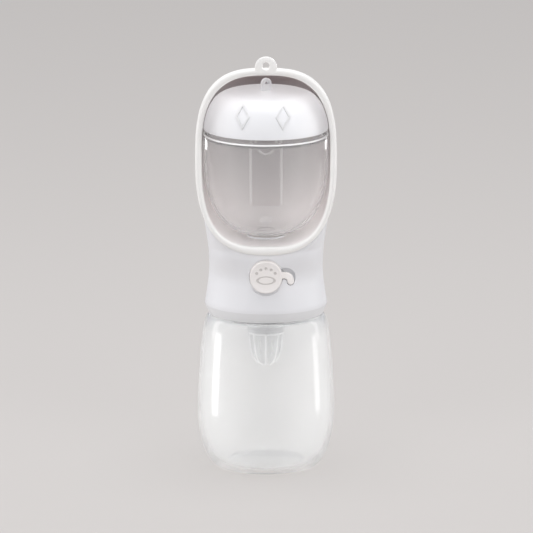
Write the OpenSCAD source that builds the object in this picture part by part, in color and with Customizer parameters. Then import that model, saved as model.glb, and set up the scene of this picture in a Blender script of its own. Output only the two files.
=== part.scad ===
// Travel water bottle for a dog: a clear bottle, a screw-on head with a drinking trough,
// a push-button valve that can be locked, and a lidded food cup kept in the trough.
// Millimetres. The origin is the middle of the bottle's foot, +Z is up, the front faces -Y.

/* [Bottle] */
// Height of the bottle's body, from the foot to the top of its shoulder
bottle_h = 89.8; // [80:0.2:105]
// Largest radius of the bottle
bottle_r = 39; // [37:0.5:44]
// Height of the largest radius
bottle_belly_z = 34; // [28:1:45]
// Radius of the flat foot
foot_r = 25.5; // [20:0.5:30]
// Radius of the shoulder where the neck starts
shoulder_r = 30; // [29.4:0.1:30.4]
// Wall of the bottle
bottle_wall = 1.6; // [1.2:0.1:2.4]
// Outer radius of the threaded neck
neck_r = 28; // [26:0.2:28.4]
// Wall of the neck
neck_wall = 2; // [1.6:0.1:3]
// Height of the neck above the shoulder
neck_h = 14.7; // [12:0.1:18]

/* [Head] */
// Gap between the shoulder and the skirt of the head
skirt_gap = 0.3; // [0.2:0.1:1]
// Radius of the skirt at its lower edge
skirt_r = 32.9; // [32.6:0.1:34]
// Height of the bevel under the skirt's widest line
skirt_bevel_h = 5.5; // [4:0.5:7]
// Radius of the skirt's widest line
flare_r = 35.1; // [34:0.1:37]
// Radius of the waist, where the button sits
waist_r = 32.5; // [32.2:0.1:34]
// Height of the waist and of the button above the skirt's lower edge
waist_up = 26.8; // [25:0.2:30]
// Thickness of the head's walls
head_wall = 2.1; // [1.8:0.1:2.6]
// Slope of the trough's roof, falling to the back
roof_slope = 12.5; // [9:0.5:14]

/* [Trough rim] */
// Half of the rim's width
rim_half_w = 40.5; // [39.5:0.1:43]
// Height of the rim's lowest point above the skirt's lower edge
rim_up = 39.9; // [38:0.1:43]
// Height of the rim from its lowest to its highest point
rim_h = 107.5; // [104:0.5:118]
// Width of the band at the sides
band_side = 3.8; // [3:0.1:4.4]
// Width of the band at the top
band_top = 4.4; // [3.4:0.1:6]
// Width of the band at the bottom
band_bottom = 5.1; // [4:0.1:6]
// How far the rounded band stands out of the trough's edge
band_depth = 3.2; // [2.4:0.1:4.5]
// Angle by which the rim leans back
rim_lean = 4.6; // [2:0.2:7]
// Distance of the rim's lowest point in front of the bottle's axis
rim_front = 34.4; // [33.5:0.1:36]
// Outer radius of the hanging loop
loop_r = 6.4; // [5.4:0.1:8]
// Radius of the hole in the hanging loop
loop_hole_r = 2; // [1.8:0.1:3.2]

/* [Food cup] */
// Gap all round between the cup and the rim it slides out through
cup_gap = 0.9; // [0.5:0.1:2]
// Wall of the cup
cup_wall = 1.6; // [1.2:0.1:2.2]
// Gap between the cup's foot and its seat in the trough
cup_rest_gap = 0.3; // [0.2:0.05:0.6]
// Gap between the cup's shoulder and the lid's lower edge
lid_gap = 3.1; // [3:0.1:5]
// Height of the lid's dome
lid_h = 22.3; // [21.5:0.1:25]
// Wall of the lid
lid_wall = 1.5; // [1.2:0.1:1.8]
// Gap between the lid's eyelet and the roof of the trough
lid_room = 2.4; // [1:0.1:4]
// Radius of the eyelet on the lid
eyelet_r = 3.3; // [2.6:0.1:3.6]
// Turn of the lid, seen from above
lid_turned = -3.5; // [-15:0.5:15]

/* [Valve and button] */
// Radius of the button
button_r = 9.3; // [8.6:0.1:10]
// How far the button can be pressed
button_travel = 3; // [2:0.25:3.5]
// Angle through which the lock lever swings
lock_swing = 15; // [8:1:20]
// Bore of the valve barrel
barrel_bore_r = 4.5; // [4:0.1:5]
// Wall of the valve barrel
barrel_wall = 2.4; // [1.8:0.1:2.8]
// Radius of the valve stem
stem_r = 1.6; // [1.4:0.1:1.8]
// Radius of the water outlet
outlet_r = 2.4; // [2:0.1:2.6]
// Turns of the return spring
spring_turns = 6; // [4:1:8]

/* [Filter] */
// Radius of the filter basket at its rim
basket_r = 10.2; // [9.5:0.1:11]
// Height of the filter basket
basket_h = 24.5; // [20:0.5:28]
// Number of ribs in the basket
basket_ribs = 8; // [6:1:10]

/* [Hidden] */

$fn = 96;
fit = 0.05;          // radial clearance of a rod in its guide
loose = 0.4;         // clearance of a part that moves past a moulding

// Heights, from the shoulder upwards
skirt_z = bottle_h + skirt_gap;
flare_z = skirt_z + skirt_bevel_h;
waist_z = skirt_z + waist_up;
button_z = waist_z;
mouth_z = bottle_h + neck_h;
rim_bottom_z = skirt_z + rim_up;
rim_top_z = rim_bottom_z + rim_h;

// Outlines of the rim, each [half width, widest height, rise above it, power above,
// drop below it, power below]: two half superellipses joined at the widest height
rim_mid_z = rim_bottom_z + 0.511 * rim_h;
inner_mid_z = rim_mid_z + 3.6;
rim_outer = [rim_half_w, rim_mid_z, rim_top_z - rim_mid_z, 2.87, rim_mid_z - rim_bottom_z, 2.55];
rim_inner = [rim_half_w - band_side, inner_mid_z, rim_top_z - band_top - inner_mid_z, 2.74,
             inner_mid_z - rim_bottom_z - band_bottom, 3];
edge_inset = 0.9;    // the band stands out this far past the trough's outer wall
cavity_inset = 0.8;  // and this far past its inner wall
wall_outline = grown(rim_outer, -edge_inset);
cavity_outline = grown(rim_inner, cavity_inset);

function grown(o, d) = [o[0] + d, o[1], o[2] + d, o[3], o[4] + d, o[5]];
function raised(o, d) = [o[0], o[1], o[2] + d, o[3], o[4], o[5]];
function outline_bottom(o) = o[1] - o[4];
function outline_top(o) = o[1] + o[2];
function signed_pow(v, p) = sign(v) * pow(abs(v), p);
function half_power(t, n) = t >= 1 ? 0 : pow(1 - pow(t, n), 1 / n);
function half_width(o, z) =
    z >= o[1] ? o[0] * half_power((z - o[1]) / o[2], o[3])
              : o[0] * half_power((o[1] - z) / o[4], o[5]);
function mix(a, b, t) = a + (b - a) * t;
function limit(v, low, high) = min(high, max(low, v));
function smooth(t) = let(u = limit(t, 0, 1)) u * u * (3 - 2 * u);
function rim_plane_y(z) = -rim_front + (z - rim_bottom_z) * tan(rim_lean);

// ---- Lofted head ----

flat_share = 0.35;   // share of the width that starts the flat front of a section
flat_steps = 4;
corner_steps = 7;
back_steps = 8;
corner_power = 3;
morph_start_z = waist_z - 4;    // round below this height
morph_end_z = outline_bottom(wall_outline) + 0.1;
roof_bend = 8;                  // sharpness of the bend from the roof to the back
bend_reach = 60;
roof_room = 1.2;                // how far the hollow's roof may rise over its mouth

// Half width of the head's outside: skirt, waist, then the trough's wall outline
function head_half_w(z) =
    z < flare_z ? mix(skirt_r, flare_r, (z - skirt_z) / skirt_bevel_h) :
    z < waist_z ? mix(waist_r, flare_r, pow((waist_z - z) / (waist_z - flare_z), 1.5)) :
    z < rim_mid_z ? mix(waist_r, wall_outline[0], smooth((z - waist_z) / (rim_mid_z - waist_z))) :
    half_width(wall_outline, z);

// Depth of the back at a height: a round back that bends over into the sloping roof
function back_y(z, top_z, back_r) =
    let(roof = rim_plane_y(top_z) + (top_z - z) / tan(roof_slope) + bend_reach,
        wall = back_r + bend_reach)
    pow(pow(roof, -roof_bend) + pow(wall, -roof_bend), -1 / roof_bend) - bend_reach;

// Height at which a line along the roof's slope, through a point, meets the rim's plane
function roofline_z(y, z) =
    (z + (y - rim_plane_y(0)) * tan(roof_slope)) / (1 + tan(rim_lean) * tan(roof_slope));

// One quarter of a level section, from the middle of the front round to the middle of the back.
// It is kept inside an outline drawn back along the roof's slope, so the upper corners of the
// shell stay behind the rim.
function trough_quarter(w, flat, front_y, back, outline, z) =
    let(turn_y = max(front_y + 0.3, min(0, back - w)))
    [for (p = plain_quarter(w, flat, front_y, turn_y, back))
        [min(p[0], half_width(outline, max(outline[1], roofline_z(p[1], z)))), p[1]]];
function plain_quarter(w, flat, front_y, turn_y, back) =
    concat(
        [for (i = [0:flat_steps]) [flat * i / flat_steps, front_y]],
        [for (i = [1:corner_steps])
            let(a = 90 * i / corner_steps)
            [flat + (w - flat) * pow(sin(a), 2 / corner_power),
             turn_y + (front_y - turn_y) * pow(max(0, cos(a)), 2 / corner_power)]],
        [for (i = [1:back_steps])
            let(a = 90 * i / back_steps) [w * cos(a), turn_y + (back - turn_y) * sin(a)]]
    );
function round_quarter(r) =
    let(start = asin(flat_share))
    concat(
        [for (i = [0:flat_steps]) let(a = start * i / flat_steps) [r * sin(a), -r * cos(a)]],
        [for (i = [1:corner_steps])
            let(a = start + (90 - start) * i / corner_steps) [r * sin(a), -r * cos(a)]],
        [for (i = [1:back_steps]) let(a = 90 * i / back_steps) [r * cos(a), r * sin(a)]]
    );
// Both halves of a section, from the middle of the back round by the front
function full_section(quarter, z) =
    let(last = len(quarter) - 1)
    concat([for (i = [last:-1:1]) [-quarter[i][0], quarter[i][1], z]],
           [for (i = [0:last - 1]) [quarter[i][0], quarter[i][1], z]]);

function head_section(z) =
    let(w = head_half_w(z),
        t = smooth((z - morph_start_z) / (morph_end_z - morph_start_z)),
        edge = max(flat_share * w, min(w - 1, half_width(wall_outline, z))),
        back = z < rim_mid_z ? w : back_y(z, outline_top(wall_outline), wall_outline[0]),
        boxy = trough_quarter(w, edge, rim_plane_y(z), back, wall_outline, z),
        disc = round_quarter(w))
    full_section([for (i = [0:len(disc) - 1]) mix(disc[i], boxy[i], t)], z);

function cavity_section(z) =
    let(w = half_width(cavity_outline, z),
        back = z < cavity_outline[1] ? w
             : back_y(z, outline_top(wall_outline) - head_wall / cos(roof_slope),
                      cavity_outline[0]))
    full_section(trough_quarter(w, w - 0.5, rim_plane_y(z) - 2 * band_depth, back,
                                raised(cavity_outline, roof_room), z), z);

// Closed skin over a stack of level rings, all with the same number of points
module loft(rings) {
    n = len(rings[0]);
    last = (len(rings) - 1) * n;
    polyhedron(
        points = [for (ring = rings) each ring],
        faces = concat(
            [[for (j = [0:n - 1]) j]],
            [[for (j = [n - 1:-1:0]) last + j]],
            [for (i = [0:len(rings) - 2], j = [0:n - 1])
                let(a = i * n + j, b = i * n + (j + 1) % n)
                each [[a, a + n, b + n], [a, b + n, b]]]
        )
    );
}

skirt_steps = 12;
side_steps = 12;
dome_steps = 10;
cap_sliver = 0.15;   // the outlines stop this far short of their highest and lowest points

module head_solid() {
    wall_top = outline_top(wall_outline) - cap_sliver;
    loft([for (z = concat(
        [skirt_z],
        [for (i = [0:skirt_steps]) mix(flare_z, morph_end_z, i / skirt_steps)],
        [for (i = [1:side_steps]) mix(morph_end_z, rim_mid_z, pow(i / side_steps, 1.7))],
        [for (i = [1:dome_steps]) mix(rim_mid_z, wall_top, sin(90 * i / dome_steps))]
    )) head_section(z)]);
}

module cavity_solid() {
    low = outline_bottom(cavity_outline) + cap_sliver;
    high = outline_top(wall_outline) - head_wall / cos(roof_slope) - cap_sliver;
    top = min(high, outline_top(cavity_outline) - cap_sliver);
    loft([for (z = concat(
        [for (i = [dome_steps:-1:1]) mix(cavity_outline[1], low, sin(90 * i / dome_steps))],
        [for (i = [0:dome_steps]) mix(cavity_outline[1], top, sin(90 * i / dome_steps))]
    )) cavity_section(z)]);
}

// Body of revolution round the head's axis with the cavity's outline, grown by extra
module cavity_revolve(extra) {
    o = grown(cavity_outline, extra);
    low = outline_bottom(o);
    rotate_extrude()
        polygon(concat(
            [[0, o[1]], [0, low]],
            [for (i = [dome_steps - 1:-1:0])
                let(z = mix(o[1], low, sin(90 * i / dome_steps))) [half_width(o, z), z]]
        ));
}

// ---- Bottle ----

foot_recess = 1.2;
profile_steps = 14;
shoulder_power = 1.3;
shoulder_root = 0.27;

// Outer radius of the bottle's body at a height
function bottle_side(z) =
    z < bottle_belly_z
        ? foot_r + (bottle_r - foot_r) * half_power((bottle_belly_z - z) / bottle_belly_z, 2)
        : shoulder_r + (bottle_r - shoulder_r) * pow(max(0,
            1 - pow((z - bottle_belly_z) / (bottle_h - bottle_belly_z), shoulder_power)),
            shoulder_root);

module bottle() {
    inner_top = bottle_h - bottle_wall;
    color("aliceblue", 0.5)
        rotate_extrude()
            polygon(concat(
                [[0, foot_recess], [foot_r - 5, foot_recess], [foot_r - 3.5, 0]],
                [for (i = [0:profile_steps])
                    let(z = bottle_belly_z * (1 - cos(90 * i / profile_steps)))
                    [bottle_side(z), z]],
                [for (i = [1:profile_steps])
                    let(z = mix(bottle_belly_z, bottle_h, sin(90 * i / profile_steps)))
                    [bottle_side(z), z]],
                [[neck_r, bottle_h], [neck_r, mouth_z], [neck_r - neck_wall, mouth_z],
                 [neck_r - neck_wall, inner_top]],
                [for (i = [profile_steps - 1:-1:1])
                    let(z = mix(bottle_belly_z, inner_top, sin(90 * i / profile_steps)))
                    [bottle_side(z * bottle_h / inner_top) - bottle_wall, z]],
                [for (i = [profile_steps:-1:1])
                    let(z = bottle_belly_z * (1 - cos(90 * i / profile_steps)))
                    [bottle_side(z) - bottle_wall, max(z, foot_recess + 2 * bottle_wall)]],
                [[0, foot_recess + bottle_wall]]
            ));
}

seal_h = 1.5;
plate_z = mouth_z + seal_h;

module ring(outer, inner, h) {
    difference() {
        cylinder(r = outer, h = h);
        translate([0, 0, -1])
            cylinder(r = inner, h = h + 2);
    }
}

module bottle_seal() {
    color("gainsboro")
        translate([0, 0, mouth_z])
            ring(neck_r + 1, neck_r - neck_wall - 0.5, seal_h);
}

// ---- Head ----

collar_r = min(skirt_r, waist_r) - head_wall + 0.6;
chamber_r = collar_r - 0.6;
plate_h = 3;
plate_top = plate_z + plate_h;
chamber_top = rim_bottom_z - 0.6;

lever_t = 2.6;
lever_inner_r = waist_r - head_wall;
pocket_r = lever_inner_r - button_travel - 0.5;
boss_inner_r = pocket_r - 1.5;
boss_x = 3.4;
boss_r = 15;
outlet_y = 20;
spigot_r = outlet_r + 1.2;

// Things along the valve's axis are drawn upwards and then laid to point out of the front
module along_valve() {
    translate([0, 0, button_z])
        rotate([90, 0, 0])
            children();
}

// Lock lever: an arc that curls down from the button to a round tip
lever_arc_x = button_r + 1;
lever_arc_y = -3.3;
lever_mid_r = 3.9;
lever_half_w = 1.85;
lever_root = 3;
function arc(x, y, r, from, to, steps) =
    [for (i = [0:steps]) let(a = mix(from, to, i / steps)) [x + r * cos(a), y + r * sin(a)]];
module lever_shape(extra) {
    outer = lever_mid_r + lever_half_w + extra;
    inner = lever_mid_r - lever_half_w - extra;
    tip = arc(lever_arc_x + lever_mid_r, lever_arc_y, lever_half_w + extra, -18, -162, 8);
    polygon(concat(
        [[lever_arc_x - lever_root, lever_arc_y + outer]],
        arc(lever_arc_x, lever_arc_y, outer, 90, 0, 8),
        tip,
        arc(lever_arc_x, lever_arc_y, inner, 0, 90, 5),
        [[lever_arc_x - lever_root, lever_arc_y + inner]]
    ));
}

// Room for the lever at rest and for its whole swing, down to the depth of a full press
module lever_pocket() {
    reach = lever_mid_r + lever_half_w + loose;
    inner = lever_mid_r - lever_half_w - loose;
    root_x = lever_arc_x - lever_root;
    tip_x = lever_arc_x + lever_mid_r;
    swept_r = norm([tip_x, lever_arc_y]) + lever_half_w + loose;
    swept_low = atan2(lever_arc_y, lever_arc_x + reach);
    raised = concat([[root_x - 1, lever_arc_y + reach]],
                    arc(lever_arc_x, lever_arc_y, reach, 90, 0, 8));
    difference() {
        along_valve()
            translate([0, 0, pocket_r - 8])
                linear_extrude(16)
                    polygon(concat(
                        [for (p = raised) turned(p, lock_swing)],
                        arc(0, 0, swept_r, lock_swing + swept_low, swept_low, 4),
                        arc(tip_x, lever_arc_y, lever_half_w + loose, -18, -162, 8),
                        arc(lever_arc_x, lever_arc_y, inner, 0, 90, 5),
                        [[root_x, lever_arc_y + inner]]
                    ));
        cylinder(r = pocket_r, h = rim_top_z);
    }
}
function turned(p, a) = [p[0] * cos(a) - p[1] * sin(a), p[0] * sin(a) + p[1] * cos(a)];

module valve_chamber() {
    translate([0, 0, skirt_z - 1])
        cylinder(r = collar_r, h = plate_top - skirt_z + 1);
    translate([0, 0, plate_top - 1])
        difference() {
            cylinder(r = chamber_r, h = chamber_top - plate_top + 1);
            intersection() {
                ring(chamber_r + 1, boss_inner_r, chamber_top);
                translate([boss_x, 0, button_z - plate_top + 1])
                    rotate([90, 0, 0])
                        cylinder(r = boss_r, h = chamber_r + 2);
            }
        }
}

// Upright channel in the trough's back wall, with a round-ended spout at its top
channel_w = 17;
channel_depth = 1;
channel_low = 9.3;
channel_high = 56;
spout_low = 27.5;
spout_gap = 0.8;
seat_z = rim_bottom_z + band_bottom + 0.2;
seat_r = 11;
module back_channel() {
    half = channel_w / 2;
    difference() {
        intersection() {
            cavity_revolve(channel_depth);
            translate([-half, 0, seat_z + channel_low])
                cube([channel_w, 60, channel_high - channel_low]);
        }
        translate([0, 60, seat_z + spout_low + half])
            rotate([90, 0, 0])
                linear_extrude(60) {
                    circle(r = half - spout_gap);
                    translate([-half + spout_gap, 0])
                        square([channel_w - 2 * spout_gap, channel_high]);
                }
    }
}

dish_r = button_r + 1.5;
dish_depth = 0.5;

module housing() {
    color("whitesmoke") {
        difference() {
            head_solid();
            cavity_solid();
            valve_chamber();
            along_valve() {
                cylinder(r = button_r + loose, h = rim_front + 5);
                translate([0, 0, waist_r - dish_depth])
                    cylinder(r = dish_r, h = 5);
            }
            lever_pocket();
            translate([0, outlet_y, chamber_top - 1])
                cylinder(r = spigot_r + 0.1, h = 14);
            back_channel();
        }
        translate([0, 0, outline_bottom(cavity_outline) - 0.5])
            cylinder(r = seat_r, h = seat_z - outline_bottom(cavity_outline) + 0.5);
    }
}

// Rounded band on the trough's edge, swept round between the rim's two outlines
band_sides = 72;
band_arc = 8;
band_fullness = 0.75;
function outline_point(o, a) =
    a <= 180
        ? [o[0] * signed_pow(cos(a), 2 / o[3]), o[1] + o[2] * signed_pow(sin(a), 2 / o[3])]
        : [o[0] * signed_pow(cos(a), 2 / o[5]), o[1] + o[4] * signed_pow(sin(a), 2 / o[5])];
function band_section(a) =
    [for (j = [0:band_arc])
        let(f = 180 * j / band_arc,
            p = mix(outline_point(rim_inner, a), outline_point(rim_outer, a), (1 - cos(f)) / 2),
            out = band_depth * pow(max(0, sin(f)), band_fullness))
        [p[0], rim_plane_y(p[1]) - out * cos(rim_lean), p[1] + out * sin(rim_lean)]];

module rim_band() {
    n = band_arc + 1;
    count = band_sides * n;
    loop_z = rim_top_z + 0.2;
    loop_hole_up = 1.2;  // the hole sits nearer the loop's top
    color("linen")
        difference() {
            union() {
                polyhedron(
                    points = [for (i = [0:band_sides - 1]) each band_section(360 * i / band_sides)],
                    faces = [for (i = [0:band_sides - 1], j = [0:n - 1])
                        let(a = i * n + j, b = i * n + (j + 1) % n,
                            c = (a + n) % count, d = (b + n) % count)
                        each [[a, d, b], [a, c, d]]]
                );
                on_rim_plane(loop_z)
                    intersection() {
                        cylinder(r = loop_r, h = band_depth);
                        translate([-loop_r, -band_top / 2, 0])
                            cube(2 * loop_r);
                    }
            }
            on_rim_plane(loop_z)
                translate([0, loop_hole_up, -1])
                    cylinder(r = loop_hole_r, h = band_depth + 2);
        }
}

// Places children on the rim's plane at a height, with +Z standing out of it
module on_rim_plane(z) {
    translate([0, rim_plane_y(z), z])
        rotate([90 - rim_lean, 0, 0])
            children();
}

// ---- Valve ----

barrel_r = barrel_bore_r + barrel_wall;
barrel_front = 20;
barrel_rear = 25;
seat_front = 4;
seat_back = 6;
orifice_r = 3;
inlet_y = -1;
inlet_r = 3.5;
inlet_spigot_r = 7.5;
inlet_spigot_h = 8;
riser_r = outlet_r + 2.2;
riser_top = chamber_top - 2;
thread_room = 1.4;

module valve_carrier() {
    collar_low = bottle_h + 1.7;
    color("lavender")
        difference() {
            union() {
                translate([0, 0, collar_low])
                    cylinder(r = collar_r - fit, h = plate_top - collar_low);
                along_valve()
                    translate([0, 0, -barrel_rear])
                        cylinder(r = barrel_r, h = barrel_rear + barrel_front);
                translate([-4, -barrel_front + 2, plate_top - 1])
                    cube([8, barrel_front + barrel_rear - 4, button_z - plate_top]);
                translate([0, outlet_y, button_z])
                    cylinder(r = riser_r, h = riser_top - button_z);
                translate([0, outlet_y, button_z])
                    cylinder(r = spigot_r, h = seat_z - button_z);
            }
            difference() {
                translate([0, 0, collar_low - 1])
                    cylinder(r = neck_r + thread_room, h = plate_z - collar_low + 1);
                translate([0, 0, plate_z - inlet_spigot_h])
                    cylinder(r = inlet_spigot_r, h = inlet_spigot_h + 1);
            }
            along_valve() {
                translate([0, 0, -seat_front])
                    cylinder(r = barrel_bore_r, h = barrel_front + seat_front + 1);
                translate([0, 0, -seat_back - 1])
                    cylinder(r = orifice_r, h = seat_back);
                translate([0, 0, -barrel_rear - 1])
                    cylinder(r = barrel_bore_r, h = barrel_rear - seat_back + 1);
                translate([0, 0, hub_back - button_travel])
                    cylinder(r = button_r + loose, h = collar_r);
            }
            translate([0, inlet_y, plate_z - inlet_spigot_h - 1])
                cylinder(r = inlet_r, h = button_z - plate_z + inlet_spigot_h + 1);
            translate([0, outlet_y, button_z])
                cylinder(r = outlet_r, h = seat_z - button_z + 1);
        }
}

bush_in = 13;
flange_t = 2.5;
module gland_bush() {
    color("silver")
        along_valve()
            difference() {
                union() {
                    translate([0, 0, bush_in])
                        cylinder(r = barrel_bore_r - fit, h = barrel_front - bush_in + 1);
                    translate([0, 0, barrel_front])
                        cylinder(r = barrel_r, h = flange_t);
                }
                translate([0, 0, bush_in - 1])
                    cylinder(r = stem_r + fit, h = barrel_front);
            }
}

module rear_plug() {
    color("silver")
        along_valve()
            translate([0, 0, -barrel_rear]) {
                cylinder(r = barrel_bore_r - fit, h = barrel_rear - outlet_y - outlet_r - 0.1);
                translate([0, 0, -flange_t])
                    cylinder(r = barrel_r, h = flange_t);
            }
}

module outlet_gasket() {
    color("dimgray")
        translate([0, outlet_y, riser_top])
            ring(riser_r, spigot_r, chamber_top - riser_top);
}

// The stem's piston carries two O-rings and rests against the bush
piston_r = barrel_bore_r - 0.1;
land = 0.9;
groove = 2.1;
oring_r = 0.95;
groove_r = piston_r - 2 * oring_r;
hub_back = 27.4;
stem_front = 31.6;
poppet_t = 1.6;
washer_t = 1.6;
stem_tail = seat_back + washer_t + poppet_t + 5;

module valve_stem() {
    rod_r = stem_r + 0.6;
    color("ivory")
        along_valve()
            difference() {
                union() {
                    translate([0, 0, -stem_tail])
                        cylinder(r = stem_r, h = stem_tail + stem_front);
                    translate([0, 0, -seat_back])
                        cylinder(r = rod_r, h = seat_back + bush_in);
                    translate([0, 0, bush_in - 3 * land - 2 * groove])
                        cylinder(r = piston_r, h = 3 * land + 2 * groove);
                }
                for (i = [0, 1])
                    translate([0, 0, bush_in - (i + 1) * (land + groove)])
                        ring(piston_r + 1, groove_r, groove);
                translate([0, 0, hub_back - clip_t])
                    ring(stem_r + 1, clip_r, clip_t);
            }
}

module stem_orings() {
    color("dimgray")
        along_valve()
            for (i = [0, 1])
                translate([0, 0, bush_in - (i + 1) * (land + groove) + groove / 2])
                    rotate_extrude()
                        translate([groove_r + oring_r + 0.02, 0])
                            circle(r = oring_r, $fn = 24);
}

module valve_washer() {
    color("dimgray")
        along_valve()
            translate([0, 0, -seat_back - washer_t])
                ring(barrel_bore_r - 0.4, stem_r + fit, washer_t);
}

module poppet() {
    color("ivory")
        along_valve()
            translate([0, 0, -seat_back - washer_t - poppet_t])
                ring(barrel_bore_r - 0.5, stem_r + fit, poppet_t);
}

// Coil spring as a tube swept along a helix
wire_r = 0.45;
coil_r = barrel_bore_r - 1.3;
coil_sides = 14;
wire_sides = 6;
module return_spring() {
    start = outlet_y + outlet_r + 0.1 - wire_r - fit;
    end = seat_back + washer_t + poppet_t + wire_r + fit;
    rings = spring_turns * coil_sides;
    n = wire_sides;
    function wire_point(i, j) =
        let(a = 360 * i / coil_sides, b = 360 * j / n, r = coil_r + wire_r * cos(b))
        [r * cos(a), r * sin(a), -mix(start, end, i / rings) + wire_r * sin(b)];
    color("silver")
        along_valve()
            polyhedron(
                points = [for (i = [0:rings], j = [0:n - 1]) wire_point(i, j)],
                faces = concat(
                    [[for (j = [n - 1:-1:0]) j]],
                    [[for (j = [0:n - 1]) rings * n + j]],
                    [for (i = [0:rings - 1], j = [0:n - 1])
                        let(a = i * n + j, b = i * n + (j + 1) % n)
                        each [[a, b, b + n], [a, b + n, a + n]]]
                )
            );
}

clip_r = stem_r - 0.4;
clip_t = 0.8;
module stem_clip() {
    color("silver")
        along_valve()
            translate([0, 0, hub_back - clip_t])
                difference() {
                    ring(stem_r + 1.8, clip_r + 0.02, clip_t);
                    translate([-clip_r * 0.8, 0, -1])
                        cube([clip_r * 1.6, 2 * stem_r + 2, clip_t + 2]);
                }
}

// Paw on the button: toes on an arc over a lens-shaped pad
button_face = rim_front - 0.2;
cap_t = 2.3;
toe_r = 0.95;
toe_arc_r = 6.5;
pad_w = 10.7;
pad_h = 5.2;
relief = 0.4;
module paw_shape() {
    for (i = [0:4])
        let(a = 36 + 28.5 * i)
        translate([toe_arc_r * cos(a), toe_arc_r * sin(a) - 1.3])
            circle(r = toe_r, $fn = 24);
    lens_r = (pad_w * pad_w + pad_h * pad_h) / (4 * pad_h);
    translate([0, -1.7])
        intersection() {
            translate([0, lens_r - pad_h / 2])
                circle(r = lens_r);
            translate([0, pad_h / 2 - lens_r])
                circle(r = lens_r);
        }
}

module button() {
    color("seashell") {
        along_valve()
            difference() {
                union() {
                    translate([0, 0, hub_back])
                        cylinder(r = 2 * stem_r, h = button_face - hub_back - 1);
                    translate([0, 0, hub_back + 0.6])
                        ring(button_r, button_r - 1.4, button_face - hub_back - 1);
                    translate([0, 0, button_face - cap_t])
                        cylinder(r = button_r, h = cap_t);
                    translate([0, 0, button_face])
                        ring(button_r - 0.2, button_r - 1, relief / 2);
                }
                translate([0, 0, hub_back - 1])
                    cylinder(r = stem_r + fit, h = stem_front - hub_back + 1.1);
                translate([0, 0, button_face - relief])
                    linear_extrude(1)
                        paw_shape();
            }
        intersection() {
            along_valve()
                linear_extrude(rim_front + 5)
                    lever_shape(0);
            translate([0, 0, skirt_z])
                ring(lever_inner_r + lever_t, lever_inner_r, rim_h);
        }
    }
}

// ---- Filter ----

cap_bottom = mouth_z - 21;
cap_wall = 1.6;
basket_wall = 1;
band_h = 4.5;
cap_bore_r = inlet_spigot_r + fit;
module filter_cap() {
    plug_r = basket_side(1 - band_h / basket_h) - basket_wall - 0.2;
    color("gainsboro")
        difference() {
            union() {
                translate([0, 0, cap_bottom])
                    cylinder(r = cap_bore_r + cap_wall, h = plate_z - 0.4 - cap_bottom);
                translate([0, 0, cap_bottom])
                    cylinder(r = basket_r, h = 2.5);
                translate([0, 0, cap_bottom - band_h])
                    cylinder(r = plug_r, h = band_h + 1);
            }
            translate([0, 0, plate_z - inlet_spigot_h - 0.5])
                cylinder(r = cap_bore_r, h = inlet_spigot_h + 1);
            translate([0, 0, cap_bottom - band_h - 1])
                cylinder(r = plug_r - 1.4, h = plate_z - cap_bottom + band_h - inlet_spigot_h - 1);
        }
}

// Outer radius of the basket, t = 0 at its round bottom and 1 at its rim
function basket_side(t) = mix(0.775, 1, t) * basket_r * pow(1 - pow(1 - t, 6), 1 / 2.2);
basket_steps = 12;
module basket_form(inset) {
    h = basket_h - inset;
    rotate_extrude()
        polygon(concat(
            [[0, 0]],
            [for (i = [1:basket_steps])
                let(t = pow(i / basket_steps, 1.6)) [basket_side(t) - inset, h * t]],
            [[0, h]]
        ));
}
module filter_basket() {
    low = cap_bottom - basket_h;
    slot_w = 1.4;
    rib_t = 0.9;
    color("white", 0.6)
        translate([0, 0, low])
            difference() {
                union() {
                    difference() {
                        basket_form(0);
                        translate([0, 0, basket_wall])
                            basket_form(basket_wall);
                        translate([0, 0, basket_h - 1])
                            cylinder(r = basket_r - basket_wall, h = 2);
                    }
                    intersection() {
                        translate([0, 0, basket_wall / 2])
                            basket_form(basket_wall / 2);
                        for (i = [0:basket_ribs - 1])
                            rotate(360 * i / basket_ribs)
                                translate([basket_r * 0.6, -rib_t / 2, 0.15 * basket_h])
                                    cube([basket_r, rib_t, 0.55 * basket_h]);
                    }
                }
                for (i = [0:basket_ribs - 1])
                    rotate(360 * (i + 0.5) / basket_ribs)
                        translate([basket_r * 0.5, -slot_w / 2, 0.3 * basket_h])
                            cube([basket_r, slot_w, 0.35 * basket_h]);
            }
}

module filter_screen() {
    color("darkgray")
        translate([0, 0, cap_bottom - band_h - 0.6])
            cylinder(r = basket_side(1 - (band_h + 0.6) / basket_h) - basket_wall - 0.3, h = 0.5);
}

// ---- Food cup and lid ----

cup_r = rim_half_w - band_side - cup_gap;
cup_foot_z = seat_z + cup_rest_gap;
eyelet_h = 7;
roof_z = outline_top(wall_outline) + rim_plane_y(outline_top(wall_outline)) * tan(roof_slope)
       - head_wall / cos(roof_slope);
lid_z = roof_z - lid_room - eyelet_h - lid_h;
cup_shoulder_z = lid_z - lid_gap;
cup_power = 2.7;
cup_mid_h = 50;
lid_play = 1.3;
cup_neck_r = cup_r - lid_wall - lid_play;
cup_mouth_z = lid_z + 5.7;
cup_steps = 12;

function cup_side(z, inset) =
    let(drop = cup_mid_h - inset, low = cup_foot_z + inset, t = (low + drop - z) / drop)
    t <= 0 ? cup_r - inset : (cup_r - inset) * half_power(t, cup_power);
function cup_wall_points(inset) =
    let(low = cup_foot_z + inset)
    [for (i = [cup_steps - 1:-1:0])
        let(z = low + (cup_mid_h - inset) * (1 - sin(90 * i / cup_steps)))
        [cup_side(z, inset), z]];

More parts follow.
